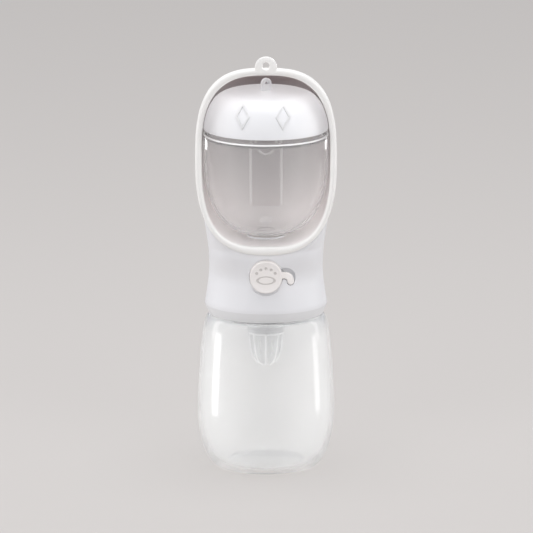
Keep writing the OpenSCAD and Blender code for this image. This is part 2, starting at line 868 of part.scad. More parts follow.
module food_cup() {
    color("lightcyan", 0.5)
        rotate_extrude()
            polygon(concat(
                [[0, cup_foot_z]],
                cup_wall_points(0),
                [[cup_r, cup_shoulder_z], [cup_neck_r, cup_shoulder_z + 0.9],
                 [cup_neck_r, cup_mouth_z], [cup_neck_r - cup_wall, cup_mouth_z],
                 [cup_neck_r - cup_wall, cup_shoulder_z], [cup_r - cup_wall, cup_shoulder_z - 2]],
                [for (i = [0:cup_steps - 1]) cup_wall_points(cup_wall)[cup_steps - 1 - i]],
                [[0, cup_foot_z + cup_wall]]
            ));
}

// Outer radius of the lid, t = 0 at its lower edge and 1 at its top
function lid_side(t, r) = r * pow(max(0, 1 - pow(t, 1.4)), 0.16);
lid_steps = 16;
function lid_points(r, h) =
    [for (i = [0:lid_steps]) let(t = sin(90 * i / lid_steps)) [lid_side(t, r), lid_z + h * t]];
module lid_dome(grow) {
    rotate_extrude()
        polygon(concat([[0, lid_z]], lid_points(cup_r + grow, lid_h + grow)));
}

seal_ring_h = 1.4;
seal_ring_z = cup_mouth_z;
rhombus_w = 8.3;
rhombus_h = 14;
rhombus_line = 0.9;
rhombus_x = 11.5;
rhombus_z = 12.6;
module rhombus(grow) {
    polygon([[-rhombus_w / 2 - grow, 0], [0, rhombus_h / 2 + 1.6 * grow],
             [rhombus_w / 2 + grow, 0], [0, -rhombus_h / 2 - 1.6 * grow]]);
}

module food_lid() {
    color("white")
        rotate(lid_turned) {
            difference() {
                union() {
                    lid_dome(0);
                    intersection() {
                        lid_dome(0.35);
                        for (side = [-1, 1])
                            translate([side * rhombus_x, 0, lid_z + rhombus_z])
                                rotate([90, 0, 0])
                                    linear_extrude(cup_r + 2)
                                        difference() {
                                            rhombus(0);
                                            rhombus(-rhombus_line);
                                        }
                    }
                }
                rotate_extrude()
                    polygon(concat([[0, lid_z - 1], [cup_r - lid_wall, lid_z - 1]],
                                   lid_points(cup_r - lid_wall, lid_h - lid_wall)));
            }
            intersection() {
                lid_dome(-0.5);
                translate([0, 0, seal_ring_z + seal_ring_h])
                    ring(cup_neck_r - 0.3, cup_neck_r - 2, lid_h);
            }
            translate([0, 0, lid_z + lid_h + eyelet_h - eyelet_r])
                rotate([90, 0, 40])
                    difference() {
                        union() {
                            translate([0, 0, -1.3])
                                cylinder(r = eyelet_r, h = 2.6);
                            translate([-eyelet_r, -eyelet_h + eyelet_r - 0.5, -1.3])
                                cube([2 * eyelet_r, eyelet_h - eyelet_r + 0.5, 2.6]);
                        }
                        translate([0, 0, -5])
                            cylinder(r = 1.4, h = 10);
                    }
        }
}

module lid_seal() {
    color("gainsboro")
        translate([0, 0, seal_ring_z])
            ring(cup_neck_r - 0.1, cup_neck_r - cup_wall - 0.2, seal_ring_h);
}

bottle();
bottle_seal();
housing();
rim_band();
valve_carrier();
gland_bush();
rear_plug();
outlet_gasket();
valve_stem();
stem_orings();
valve_washer();
poppet();
return_spring();
stem_clip();
button();
filter_cap();
filter_screen();
filter_basket();
food_cup();
food_lid();
lid_seal();
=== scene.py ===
# Travel water bottle for a dog: bottle, screw-on head with a drinking trough, push-button
# valve and a lidded food cup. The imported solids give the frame, in metres, front to -Y.
import math

import bpy
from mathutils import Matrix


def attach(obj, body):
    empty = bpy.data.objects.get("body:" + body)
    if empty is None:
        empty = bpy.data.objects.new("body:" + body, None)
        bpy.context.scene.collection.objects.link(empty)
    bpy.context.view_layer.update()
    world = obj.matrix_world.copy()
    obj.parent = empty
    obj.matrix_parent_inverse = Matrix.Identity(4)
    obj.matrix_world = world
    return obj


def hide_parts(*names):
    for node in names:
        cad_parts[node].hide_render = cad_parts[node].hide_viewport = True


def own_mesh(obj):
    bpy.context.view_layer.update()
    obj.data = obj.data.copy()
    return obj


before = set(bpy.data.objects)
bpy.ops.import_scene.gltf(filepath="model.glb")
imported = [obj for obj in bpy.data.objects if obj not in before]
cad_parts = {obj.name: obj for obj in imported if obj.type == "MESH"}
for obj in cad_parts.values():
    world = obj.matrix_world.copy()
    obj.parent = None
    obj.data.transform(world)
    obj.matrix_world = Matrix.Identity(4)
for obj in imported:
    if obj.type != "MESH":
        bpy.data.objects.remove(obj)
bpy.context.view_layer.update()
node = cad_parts
MM = 0.001

# ---- Camera ----
# A very long lens 10 m away, 12 degrees above the level, square on to the trough.
camera_range = 10.0
camera_tilt = math.radians(12)
view_width = 0.3053
aim_x, aim_z = 0.0003, 0.1162

lens = bpy.data.cameras.new("studio_camera")
lens.sensor_width = 36
lens.lens = lens.sensor_width * camera_range / view_width
lens.clip_end = 50
camera = bpy.data.objects.new("studio_camera", lens)
camera.location = (aim_x, -camera_range * math.cos(camera_tilt),
                   aim_z + camera_range * math.sin(camera_tilt))
camera.rotation_euler = (math.pi / 2 - camera_tilt, 0, 0)
bpy.context.scene.collection.objects.link(camera)
bpy.context.scene.camera = camera

# ---- Studio ----
# A pale sheet of card under the bottle, soft boxes in front, wings at the sides and one box
# overhead. The card is seen mostly at its own plain tone, and still takes some shade; the clear
# bottle casts none.
bpy.context.scene.view_settings.view_transform = "Standard"
world = bpy.data.worlds.new("studio_air")
bpy.context.scene.world = world
world.use_nodes = True
air = world.node_tree.nodes["Background"]
air.inputs["Color"].default_value = (0.93, 0.94, 1.0, 1)
air.inputs["Strength"].default_value = 0.42

card_colour = (0.63, 0.605, 0.59, 1)
card = bpy.data.materials.new("pale_card")
card.use_nodes = True
card_shader = card.node_tree.nodes["Principled BSDF"]
card_glow = card.node_tree.nodes.new("ShaderNodeEmission")
card_glow.inputs["Color"].default_value = card_colour
card_mix = card.node_tree.nodes.new("ShaderNodeMixShader")
card_ray = card.node_tree.nodes.new("ShaderNodeLightPath")
seen_glow = card.node_tree.nodes.new("ShaderNodeMath")
seen_glow.operation = "MAXIMUM"
seen_through = card.node_tree.nodes.new("ShaderNodeMath")
seen_through.operation = "MAXIMUM"
glow_share = card.node_tree.nodes.new("ShaderNodeMath")
glow_share.operation = "MULTIPLY"
glow_share.inputs[1].default_value = 0.6
card_links = card.node_tree.links
card_links.new(card_ray.outputs["Is Camera Ray"], seen_glow.inputs[0])
card_links.new(card_ray.outputs["Is Glossy Ray"], seen_glow.inputs[1])
card_links.new(seen_glow.outputs[0], seen_through.inputs[0])
card_links.new(card_ray.outputs["Is Transmission Ray"], seen_through.inputs[1])
card_links.new(seen_through.outputs[0], glow_share.inputs[0])
card_links.new(glow_share.outputs[0], card_mix.inputs["Fac"])
card_links.new(card_shader.outputs[0], card_mix.inputs[1])
card_links.new(card_glow.outputs[0], card_mix.inputs[2])
card_links.new(card_mix.outputs[0], card.node_tree.nodes["Material Output"].inputs["Surface"])
card_shader.inputs["Roughness"].default_value = 0.85
card_shader.inputs["Specular IOR Level"].default_value = 0.1
fibre = card.node_tree.nodes.new("ShaderNodeTexNoise")
fibre.inputs["Scale"].default_value = 60
fibre_tint = card.node_tree.nodes.new("ShaderNodeValToRGB")
fibre_tint.color_ramp.elements[0].color = [0.99 * c for c in card_colour[:3]] + [1]
fibre_tint.color_ramp.elements[1].color = card_colour
card.node_tree.links.new(fibre.outputs["Fac"], fibre_tint.inputs["Fac"])
card.node_tree.links.new(fibre_tint.outputs["Color"], card_shader.inputs["Base Color"])

bpy.ops.object.select_all(action="DESELECT")
bpy.ops.mesh.primitive_plane_add(size=14)
floor = bpy.context.object
floor.name = "studio_floor"
floor.data.materials.append(card)


# Thin white walls let light through, so the pieces put in here don't shade some of the boxes.
thin_walls = bpy.data.collections.new("thin_walls")
# The strips stand close to the bottle for its highlights, and light nothing else.
bottle_only = bpy.data.collections.new("bottle_only")


def let_light_through(piece):
    """Adds a piece to the thin walls, none of which shades a lamp that shines through."""
    thin_walls.objects.link(piece)
    for wall in thin_walls.collection_objects:
        wall.light_linking.link_state = "EXCLUDE"


def soft_box(name, place, aim, size, power, mirrored=False, through=False):
    """A lamp turned to its aim. Mirrored ones show in gloss, through ones pass the thin walls."""
    lamp = bpy.data.lights.new(name, "AREA")
    lamp.shape = "RECTANGLE"
    lamp.size, lamp.size_y = size
    lamp.energy = power
    stand = bpy.data.objects.new(name, lamp)
    stand.location = place
    reach = [aim[i] - place[i] for i in range(3)]
    flat = math.hypot(reach[0], reach[1])
    stand.rotation_euler = (math.atan2(flat, -reach[2]), 0, math.atan2(-reach[0], reach[1]))
    stand.visible_camera = False
    stand.visible_glossy = mirrored
    stand.visible_transmission = mirrored
    if through:
        stand.light_linking.blocker_collection = thin_walls
    bpy.context.scene.collection.objects.link(stand)
    return stand


middle = (0, 0, 0.12)
for name, place, size, power in (("left_box", (-1.2, 0.4, 0.4), (0.3, 1.2), 1.8),
                                 ("right_box", (1.2, 0.4, 0.4), (0.22, 1.2), 1.2)):
    soft_box(name, place, middle, size, power, mirrored=True).visible_transmission = False
soft_box("key_box", (-0.9, -1.7, 1.15), middle, (1.0, 0.9), 8.8)
soft_box("fill_box", (0.9, -1.7, 1.15), middle, (1.0, 0.9), 7.9)
soft_box("left_wing", (-1.7, 0.15, 0.25), middle, (0.8, 0.5), 9.5, through=True)
soft_box("right_wing", (1.7, 0.15, 0.25), middle, (0.8, 0.5), 9, through=True)
soft_box("low_box", (0.1, -2.1, 0.2), middle, (1.4, 0.3), 2.8, through=True)
soft_box("overhead_box", (0, 0, 1.5), middle, (1.0, 1.0), 14, mirrored=True, through=True)
for name, place, size, power in (
        ("left_strip", (-0.2, -0.005, 0.045), (0.05, 0.09), 0.065),
        ("right_strip", (0.2, 0, 0.045), (0.04, 0.08), 0.025)):
    strip = soft_box(name, place, (0, 0, 0.06), size, power, mirrored=True)
    strip.visible_transmission = False
    strip.light_linking.receiver_collection = bottle_only

# ---- Bottle ----
# Blow-moulded from clear copolyester with a faint milky haze, so the wall is even and the foot
# is a ring round a shallow recess. The neck has the thread that the head screws on to.
bottle_belly_r, bottle_belly_z = 39, 34
bottle_foot_r, bottle_shoulder_r, bottle_h = 25.5, 30, 89.8
bottle_wall = 1.6
foot_recess = 1.2
neck_r, neck_wall, mouth_z = 28, 2, 104.5


def turned(name, outline, steps=144):
    """A turned solid: the outline, (radius, height) in mm, spun round the upright axis."""
    bpy.ops.object.select_all(action="DESELECT")
    bpy.ops.mesh.primitive_plane_add(size=MM)
    piece = bpy.context.object
    piece.name = piece.data.name = name
    bpy.ops.object.mode_set(mode="EDIT")
    bpy.ops.mesh.select_all(action="SELECT")
    bpy.ops.mesh.merge(type="CENTER")
    radius, height = outline[0]
    bpy.ops.transform.translate(value=(radius * MM, 0, height * MM))
    for r, z in outline[1:]:
        bpy.ops.mesh.extrude_region_move(
            TRANSFORM_OT_translate={"value": ((r - radius) * MM, 0, (z - height) * MM)})
        radius, height = r, z
    bpy.ops.mesh.select_all(action="SELECT")
    bpy.ops.mesh.spin(steps=steps, angle=2 * math.pi, center=(0, 0, 0), axis=(0, 0, 1))
    close_up(piece)
    return piece


def close_up(piece):
    """Merges seams and poles, and turns the faces outwards."""
    bpy.ops.mesh.select_all(action="SELECT")
    bpy.ops.mesh.remove_doubles(threshold=2e-6)
    bpy.ops.mesh.select_all(action="SELECT")
    bpy.ops.mesh.normals_make_consistent(inside=False)
    bpy.ops.object.mode_set(mode="OBJECT")


def soften(piece, width, sharp=35, segments=3):
    """Rounds the sharp edges by a width in mm and shades the rest smooth."""
    bpy.ops.object.select_all(action="DESELECT")
    piece.select_set(True)
    bpy.context.view_layer.objects.active = piece
    if width:
        rounding = piece.modifiers.new("rounding", "BEVEL")
        rounding.width = width * MM
        rounding.segments = segments
        rounding.limit_method = "ANGLE"
        rounding.angle_limit = math.radians(sharp)
        rounding.use_clamp_overlap = True
        bpy.ops.object.modifier_apply(modifier=rounding.name)
    bpy.ops.object.shade_smooth_by_angle(angle=math.radians(40))
    return piece


def finish_piece(piece, body, material, slot, *nodes):
    """Gives a piece its material and body, turns its shadow off when the slot is a clear one, and
    hides the solids that it stands for.
    """
    piece.data.materials.clear()
    piece.data.materials.append(material)
    piece.visible_shadow = not slot.startswith("clear")
    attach(piece, body)
    if nodes:
        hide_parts(*nodes)


def clear_plastic(name, tint, clearness, roughness, ripple, bend=1.45, gloss=0.3,
                  coat=0.8, coat_blur=0.33):
    """Clear moulded plastic: a little of it scatters as haze, and the wall ripples faintly.

    Bend is the index of refraction. The soft coat gives the broad highlights of a worn gloss.
    """
    material = bpy.data.materials.new(name)
    material.use_nodes = True
    tree = material.node_tree
    shader = tree.nodes["Principled BSDF"]
    shader.inputs["Base Color"].default_value = tint
    shader.inputs["Transmission Weight"].default_value = clearness
    shader.inputs["IOR"].default_value = bend
    shader.inputs["Specular IOR Level"].default_value = gloss
    shader.inputs["Coat Weight"].default_value = coat
    shader.inputs["Coat Roughness"].default_value = coat_blur
    shader.inputs["Sheen Weight"].default_value = 0.4
    shader.inputs["Sheen Roughness"].default_value = 0.35
    place = tree.nodes.new("ShaderNodeTexCoord")
    flow = tree.nodes.new("ShaderNodeTexNoise")
    flow.inputs["Scale"].default_value = 45
    flow.inputs["Detail"].default_value = 3
    tree.links.new(place.outputs["Object"], flow.inputs["Vector"])
    wear = tree.nodes.new("ShaderNodeMapRange")
    wear.inputs["To Min"].default_value = roughness * 0.7
    wear.inputs["To Max"].default_value = roughness * 1.3
    tree.links.new(flow.outputs["Fac"], wear.inputs["Value"])
    tree.links.new(wear.outputs["Result"], shader.inputs["Roughness"])
    bump = tree.nodes.new("ShaderNodeBump")
    bump.inputs["Strength"].default_value = ripple
    bump.inputs["Distance"].default_value = 0.0006
    tree.links.new(flow.outputs["Fac"], bump.inputs["Height"])
    tree.links.new(bump.outputs["Normal"], shader.inputs["Normal"])
    return material


def bottle_side(z):
    """The bottle's radius at a height: a round base, a full belly and a turned-in shoulder."""
    if z < bottle_belly_z:
        drop = (bottle_belly_z - z) / bottle_belly_z
        return bottle_foot_r + (bottle_belly_r - bottle_foot_r) * math.sqrt(max(0, 1 - drop ** 2))
    rise = (z - bottle_belly_z) / (bottle_h - bottle_belly_z)
    swell = bottle_belly_r - bottle_shoulder_r
    return bottle_shoulder_r + swell * max(0, 1 - rise ** 1.3) ** 0.27


def bottle_walk(inset, low, high, count=28):
    """Heights and radii up one side of the wall, closer together where it turns fastest."""
    quarter = [math.pi / 2 * i / count for i in range(count + 1)]
    heights = [bottle_belly_z * (1 - math.cos(a)) for a in quarter]
    heights += [bottle_belly_z + (bottle_h - bottle_belly_z) * math.sin(a) for a in quarter[1:]]
    shrink = (high - low) / bottle_h
    return [(bottle_side(z) - inset, low + z * shrink) for z in heights]


bottle_outline = [(0, foot_recess), (bottle_foot_r - 5, foot_recess), (bottle_foot_r - 3.5, 0)]
bottle_outline += bottle_walk(0, 0, bottle_h)
bottle_outline += [(neck_r, bottle_h), (neck_r, mouth_z), (neck_r - neck_wall, mouth_z),
                   (neck_r - neck_wall, bottle_h - bottle_wall)]
inside = bottle_walk(bottle_wall, foot_recess + bottle_wall, bottle_h - bottle_wall)
bottle_outline += list(reversed(inside[:-1])) + [(0, foot_recess + bottle_wall)]
clear_bottle = clear_plastic("clear_bottle", (0.985, 0.99, 0.99, 1), 0.835, 0.09, 0.2, gloss=0.08,
                             coat_blur=0.24)
bottle = soften(turned("bottle_wall", bottle_outline), 0.5)
finish_piece(bottle, "bottle", clear_bottle, "clear_bottle", "bottle")
bottle_only.objects.link(bottle)

# The neck's thread: one low ridge that climbs a turn and a half.
thread_low_z, thread_pitch, thread_turns = 93.5, 4.2, 1.6
thread_root, thread_proud, thread_half_root, thread_half_tip = -0.2, 0.5, 0.9, 0.35
bpy.ops.object.select_all(action="DESELECT")
bpy.ops.mesh.primitive_plane_add(size=MM)
thread = bpy.context.object
thread.name = thread.data.name = "neck_thread"
thread_corners = ((thread_root, -thread_half_root), (thread_proud, -thread_half_tip),
                  (thread_root, thread_half_root), (thread_proud, thread_half_tip))
for vertex, (proud, up) in zip(thread.data.vertices, thread_corners):
    vertex.co = ((neck_r + proud) * MM, 0, (thread_low_z + up) * MM)
bpy.ops.object.mode_set(mode="EDIT")
bpy.ops.mesh.select_all(action="SELECT")
bpy.ops.mesh.delete(type="ONLY_FACE")
bpy.ops.object.mode_set(mode="OBJECT")
climb = thread.modifiers.new("climb", "SCREW")
climb.angle = 2 * math.pi * thread_turns
climb.screw_offset = thread_pitch * thread_turns * MM
climb.steps = climb.render_steps = 150
bpy.ops.object.modifier_apply(modifier=climb.name)
bpy.ops.object.mode_set(mode="EDIT")
bpy.ops.mesh.select_all(action="SELECT")
bpy.ops.mesh.fill_holes(sides=4)
close_up(thread)
finish_piece(soften(thread, 0), "bottle", clear_bottle, "clear_bottle")

# ---- Head housing ----
# One injection-moulded shell: flared skirt, waist and the trough with its sloping roof. It has a
# satin face, and the button's dish and the lever's slot are cut through the waist.
def moulded(name, colour, shade, roughness, grain=1600, depth=0.05):
    """Opaque moulded plastic: fine spark-eroded grain and a slow drift of tone."""
    material = bpy.data.materials.new(name)
    material.use_nodes = True
    tree = material.node_tree
    shader = tree.nodes["Principled BSDF"]
    place = tree.nodes.new("ShaderNodeTexCoord")
    drift = tree.nodes.new("ShaderNodeTexNoise")
    drift.inputs["Scale"].default_value = 30
    drift.inputs["Detail"].default_value = 2
    tone = tree.nodes.new("ShaderNodeValToRGB")
    tone.color_ramp.elements[0].position = 0.3
    tone.color_ramp.elements[0].color = shade
    tone.color_ramp.elements[1].position = 0.7
    tone.color_ramp.elements[1].color = colour
    eroded = tree.nodes.new("ShaderNodeTexNoise")
    eroded.inputs["Scale"].default_value = grain
    eroded.inputs["Detail"].default_value = 4
    wear = tree.nodes.new("ShaderNodeMapRange")
    wear.inputs["To Min"].default_value = roughness - 0.05
    wear.inputs["To Max"].default_value = roughness + 0.05
    bump = tree.nodes.new("ShaderNodeBump")
    bump.inputs["Strength"].default_value = depth
    bump.inputs["Distance"].default_value = 0.0002
    for texture in (drift, eroded):
        tree.links.new(place.outputs["Object"], texture.inputs["Vector"])
    tree.links.new(drift.outputs["Fac"], tone.inputs["Fac"])
    tree.links.new(tone.outputs["Color"], shader.inputs["Base Color"])
    tree.links.new(eroded.outputs["Fac"], wear.inputs["Value"])
    tree.links.new(wear.outputs["Result"], shader.inputs["Roughness"])
    tree.links.new(eroded.outputs["Fac"], bump.inputs["Height"])
    tree.links.new(bump.outputs["Normal"], shader.inputs["Normal"])
    return material


def shaded_by_height(material, tints):
    """Multiplies the moulding's colour by (height in mm, tint) steps: painted shade, full tone near
    the trough's floor and darker high up under its roof.
    """
    tree = material.node_tree
    low_z, high_z = tints[0][0], tints[-1][0]
    place = tree.nodes.new("ShaderNodeTexCoord")
    split = tree.nodes.new("ShaderNodeSeparateXYZ")
    height = tree.nodes.new("ShaderNodeMapRange")
    height.inputs["From Min"].default_value = low_z * MM
    height.inputs["From Max"].default_value = high_z * MM
    ramp = tree.nodes.new("ShaderNodeValToRGB")
    while len(ramp.color_ramp.elements) < len(tints):
        ramp.color_ramp.elements.new(0.5)
    for stop, (z, tint) in zip(ramp.color_ramp.elements, tints):
        stop.position = (z - low_z) / (high_z - low_z)
        stop.color = tint + (1,)
    shader = tree.nodes["Principled BSDF"]
    plain = shader.inputs["Base Color"].links[0].from_socket
    blend = tree.nodes.new("ShaderNodeMix")
    blend.data_type = "RGBA"
    blend.blend_type = "MULTIPLY"
    blend.inputs[0].default_value = 1
    tree.links.new(place.outputs["Object"], split.inputs[0])
    tree.links.new(split.outputs["Z"], height.inputs["Value"])
    tree.links.new(height.outputs["Result"], ramp.inputs["Fac"])
    tree.links.new(plain, blend.inputs[6])
    tree.links.new(ramp.outputs["Color"], blend.inputs[7])
    tree.links.new(blend.outputs[2], shader.inputs["Base Color"])


def merged_copy(source, name):
    """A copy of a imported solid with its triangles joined, ready to be worked on."""
    bpy.ops.object.select_all(action="DESELECT")
    copy = node[source].copy()
    copy.data = node[source].data.copy()
    copy.name = copy.data.name = name
    copy.parent = None
    for label in [key for key in copy.keys() if key.startswith("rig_")]:
        del copy[label]
    bpy.context.scene.collection.objects.link(copy)
    copy.select_set(True)
    bpy.context.view_layer.objects.active = copy
    bpy.ops.object.mode_set(mode="EDIT")
    bpy.ops.mesh.select_all(action="SELECT")
    bpy.ops.mesh.customdata_custom_splitnormals_clear()
    bpy.ops.mesh.remove_doubles(threshold=2e-6)
    bpy.ops.object.mode_set(mode="OBJECT")
    return copy


white_shell = moulded("white_shell", (0.735, 0.735, 0.75, 1), (0.715, 0.715, 0.73, 1), 0.42)
# Painted light and shade: the trough's inside is the shell's own moulding, drawn in a paler,
# pink-tinged copy of its white, and the channel between the beads in a darker copy for the shade in
# that recess.
trough_inside_shaded = moulded("trough_inside_shaded", (0.93, 0.89, 0.88, 1), (0.91, 0.87, 0.86, 1), 0.35)
channel_shade = moulded("channel_shade", (0.84, 0.78, 0.775, 1), (0.82, 0.76, 0.755, 1), 0.35)
# Painted shade: the trough's inside is drawn at full tone near its floor and darker towards its
# roof.
painted_trough_shade_steps = ((132, (1.0, 1.0, 1.0)), (150, (0.74, 0.72, 0.72)), (190, (0.49, 0.475, 0.475)),
             (212, (0.44, 0.415, 0.415)), (224, (0.28, 0.225, 0.225)))
for shaded_inside in (trough_inside_shaded, channel_shade):
    shaded_by_height(shaded_inside, painted_trough_shade_steps)
# Painted shade: the skirt's downward-facing bevel is the shell's own moulding, drawn in a darker
# grey.
skirt_underside_shade = moulded("skirt_underside_shade", (0.66, 0.66, 0.665, 1), (0.64, 0.64, 0.645, 1), 0.3)
skirt_flare_z, chamber_top_z = 95.6, 129.4
floor_top_z, roof_from_z, trough_mouth_y, trough_mid_y = 137, 200, -34.5, -5
channel_half_w, channel_low_z, channel_high_z = 8.4, 144.8, 191.2
housing = soften(merged_copy("housing", "head_shell"), 0)
finish_piece(housing, "head", white_shell, "white_shell", "housing")
let_light_through(housing)
# The trough's inside faces take the painted light and shade, the channel's faces the darker painted
# shade, and the skirt's downward bevel a painted grey shade.
for finish in (trough_inside_shaded, skirt_underside_shade, channel_shade):
    housing.data.materials.append(finish)
for face in housing.data.polygons:
    x, y, z = face.center / MM
    inward = face.normal.x * x + face.normal.y * (y - trough_mid_y)
    outer_roof = z > roof_from_z and face.normal.z > 0
    under_roof = z > roof_from_z and face.normal.z < -0.3
    trough_floor = face.normal.z > 0.5 and z < floor_top_z
    takes_trough_shade = (inward < 0 and not outer_roof) or under_roof or trough_floor
    if z > chamber_top_z + 4 and y > trough_mouth_y and takes_trough_shade:
        in_channel = abs(x) < channel_half_w and channel_low_z < z < channel_high_z and y > 0
        face.material_index = 3 if in_channel else 1
    elif z < skirt_flare_z - 0.2 and inward > 0:
        face.material_index = 2

# Two upright beads on the trough's back wall guide the water down, with a curved lip between.
bead_x, bead_low_z, bead_high_z, bead_w, bead_steps = 9.0, 146, 192, 1.6, 24
lip_half_w, lip_z, lip_drop = 7.6, 189, 15
bpy.ops.object.select_all(action="DESELECT")
climbs = [i / bead_steps for i in range(bead_steps + 1)]
bead_paths = [[(side * bead_x, bead_low_z + (bead_high_z - bead_low_z) * t) for t in climbs]
              for side in (-1, 1)]
bead_paths.append([(-lip_half_w * math.cos(math.pi * t), lip_z - lip_drop * math.sin(math.pi * t))
                   for t in climbs])
beads = []
for path in bead_paths:
    bpy.ops.mesh.primitive_plane_add(size=MM)
    bead = bpy.context.object
    bpy.ops.object.mode_set(mode="EDIT")
    bpy.ops.mesh.select_all(action="SELECT")
    bpy.ops.mesh.merge(type="CENTER")
    x, z = path[0]
    bpy.ops.transform.translate(value=(x * MM, 0.01, z * MM))
    for next_x, next_z in path[1:]:
        bpy.ops.mesh.extrude_region_move(
            TRANSFORM_OT_translate={"value": ((next_x - x) * MM, 0, (next_z - z) * MM)})
        x, z = next_x, next_z
    bpy.ops.object.mode_set(mode="OBJECT")
    on_wall = bead.modifiers.new("on_wall", "SHRINKWRAP")
    on_wall.target = housing
    on_wall.wrap_method = "PROJECT"
    on_wall.use_project_x, on_wall.use_project_y, on_wall.use_project_z = False, True, False
    on_wall.use_positive_direction = True
    bpy.ops.object.modifier_apply(modifier=on_wall.name)
    bpy.ops.object.convert(target="CURVE")
    bead.data.bevel_depth = bead_w / 2 * MM
    bead.data.bevel_resolution = 3
    bead.data.use_fill_caps = True
    bpy.ops.object.convert(target="MESH")
    beads.append(bead)
for bead in beads:
    bead.select_set(True)
bpy.ops.object.join()
water_beads = bpy.context.object
water_beads.name = water_beads.data.name = "water_beads"
soften(water_beads, 0)
# Painted highlight: the beads are the shell's own moulding, drawn in a paler white and without the
# trough's painted shade, so they show as bright lines.
bead_highlight_white = moulded("bead_highlight_white", (0.86, 0.84, 0.835, 1), (0.84, 0.82, 0.815, 1), 0.3)
finish_piece(water_beads, "head", bead_highlight_white, "white_shell")

# ---- Rim band and hanging loop ----
# A soft-edged lip moulded in a warmer white round the trough's edge, with the loop for a strap
# at its top.
rim_mid_z, rim_inner_mid_z = 184.933, 188.533
rim_outer = (40.5, rim_mid_z, 52.567, 2.87, 54.933, 2.55)
rim_inner = (36.7, rim_inner_mid_z, 44.567, 2.74, 53.433, 3)
rim_low_z, rim_front_y = 130, -34.4
rim_lean = math.radians(4.6)
band_depth, band_fullness = 3.2, 0.75
loop_z, loop_r, loop_hole_r = 237.7, 6.4, 2.0
loop_hole_up, loop_trim = 1.2, -2.2


def outline_point(outline, a):
    half_w, mid_z, rise, above, drop, below = outline
    power, height = (above, rise) if a <= math.pi else (below, drop)
    c, s = math.cos(a), math.sin(a)
    return (half_w * math.copysign(abs(c) ** (2 / power), c),
            mid_z + height * math.copysign(abs(s) ** (2 / power), s))


def rim_plane_y(z):
    return rim_front_y + (z - rim_low_z) * math.tan(rim_lean)


around, across = 192, 24
bpy.ops.object.select_all(action="DESELECT")
bpy.ops.mesh.primitive_torus_add(major_segments=around, minor_segments=across,
                                 major_radius=0.04, minor_radius=0.002)
rim = bpy.context.object
rim.name = rim.data.name = "rim_lip"
for i, vertex in enumerate(rim.data.vertices):
    a = 2 * math.pi * (i // across) / around
    f = 2 * math.pi * (i % across) / across
    inner_x, inner_z = outline_point(rim_inner, a)
    outer_x, outer_z = outline_point(rim_outer, a)
    blend = (1 - math.cos(f)) / 2
    x, z = inner_x + (outer_x - inner_x) * blend, inner_z + (outer_z - inner_z) * blend
    proud = band_depth * max(0, math.sin(f)) ** band_fullness
    vertex.co = (x * MM, (rim_plane_y(z) - proud * math.cos(rim_lean)) * MM,
                 (z + proud * math.sin(rim_lean)) * MM)
bpy.ops.object.mode_set(mode="EDIT")
close_up(rim)

loop = turned("hanging_loop", [(0, band_depth), (loop_r - 1.0, band_depth),
                               (loop_r - 0.3, band_depth - 0.3), (loop_r, band_depth - 1.0),
                               (loop_r, 0.8), (loop_r - 0.8, 0), (0, 0)], 72)
eye = turned("loop_eye", [(0, -1), (loop_hole_r + 1, -1), (loop_hole_r, 0.4),
                          (loop_hole_r, band_depth - 0.5), (loop_hole_r + 0.6, band_depth + 0.1),
                          (loop_hole_r + 1.5, band_depth + 1), (0, band_depth + 1)], 48)
eye.location.y = loop_hole_up * MM
bpy.ops.mesh.primitive_cube_add(size=0.03, location=(0, loop_trim * MM - 0.015, 0))
trim = bpy.context.object


def cut(piece, tool, operation="DIFFERENCE"):
    """Cuts a tool piece out of a piece, or welds it on, and puts the tool away."""
    work = piece.modifiers.new("work", "BOOLEAN")
    work.operation = operation
    work.solver = "EXACT"
    work.object = tool
    bpy.ops.object.select_all(action="DESELECT")
    piece.select_set(True)
    bpy.context.view_layer.objects.active = piece
    bpy.ops.object.modifier_apply(modifier=work.name)
    bpy.data.objects.remove(tool)


cut(loop, eye)
cut(loop, trim)
loop.rotation_euler = (math.pi / 2 - rim_lean, 0, 0)
loop.location = (0, rim_plane_y(loop_z) * MM, loop_z * MM)
bpy.ops.object.transform_apply(location=True, rotation=True, scale=True)
cut(rim, loop, "UNION")
soften(rim, 0)
warm_white = moulded("warm_white", (0.82, 0.81, 0.79, 1), (0.80, 0.79, 0.77, 1), 0.36)
finish_piece(rim, "head", warm_white, "warm_white", "rim_band")
let_light_through(rim)

# ---- Valve ----
# The carrier screws on to the neck inside the skirt and holds the push valve. These pieces are
# ABS, rubber and stainless steel, hidden behind the waist.
inner_plastic = moulded("inner_plastic", (0.80, 0.80, 0.81, 1), (0.78, 0.78, 0.79, 1), 0.45)
soft_seal = moulded("soft_seal", (0.72, 0.72, 0.71, 1), (0.66, 0.66, 0.65, 1), 0.6, 900, 0.1)
steel = moulded("steel", (0.62, 0.62, 0.63, 1), (0.55, 0.55, 0.56, 1), 0.25, 2400, 0.04)
steel.node_tree.nodes["Principled BSDF"].inputs["Metallic"].default_value = 1
for name in ("valve_carrier", "gland_bush", "rear_plug", "valve_stem", "poppet"):
    node[name].data.materials.clear()
    node[name].data.materials.append(inner_plastic)
for name in ("bottle_seal", "outlet_gasket", "stem_orings", "valve_washer", "lid_seal"):
    node[name].data.materials.clear()
    node[name].data.materials.append(soft_seal)
node["stem_clip"].data.materials.clear()
node["stem_clip"].data.materials.append(steel)
# The spring shortens by the button's stroke with its rear end on the plug; here it rides with the
# plunger, on a mesh of its own.
spring = soften(merged_copy("return_spring", "valve_spring"), 0)
finish_piece(spring, "plunger", steel, "steel", "return_spring")
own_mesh(spring)

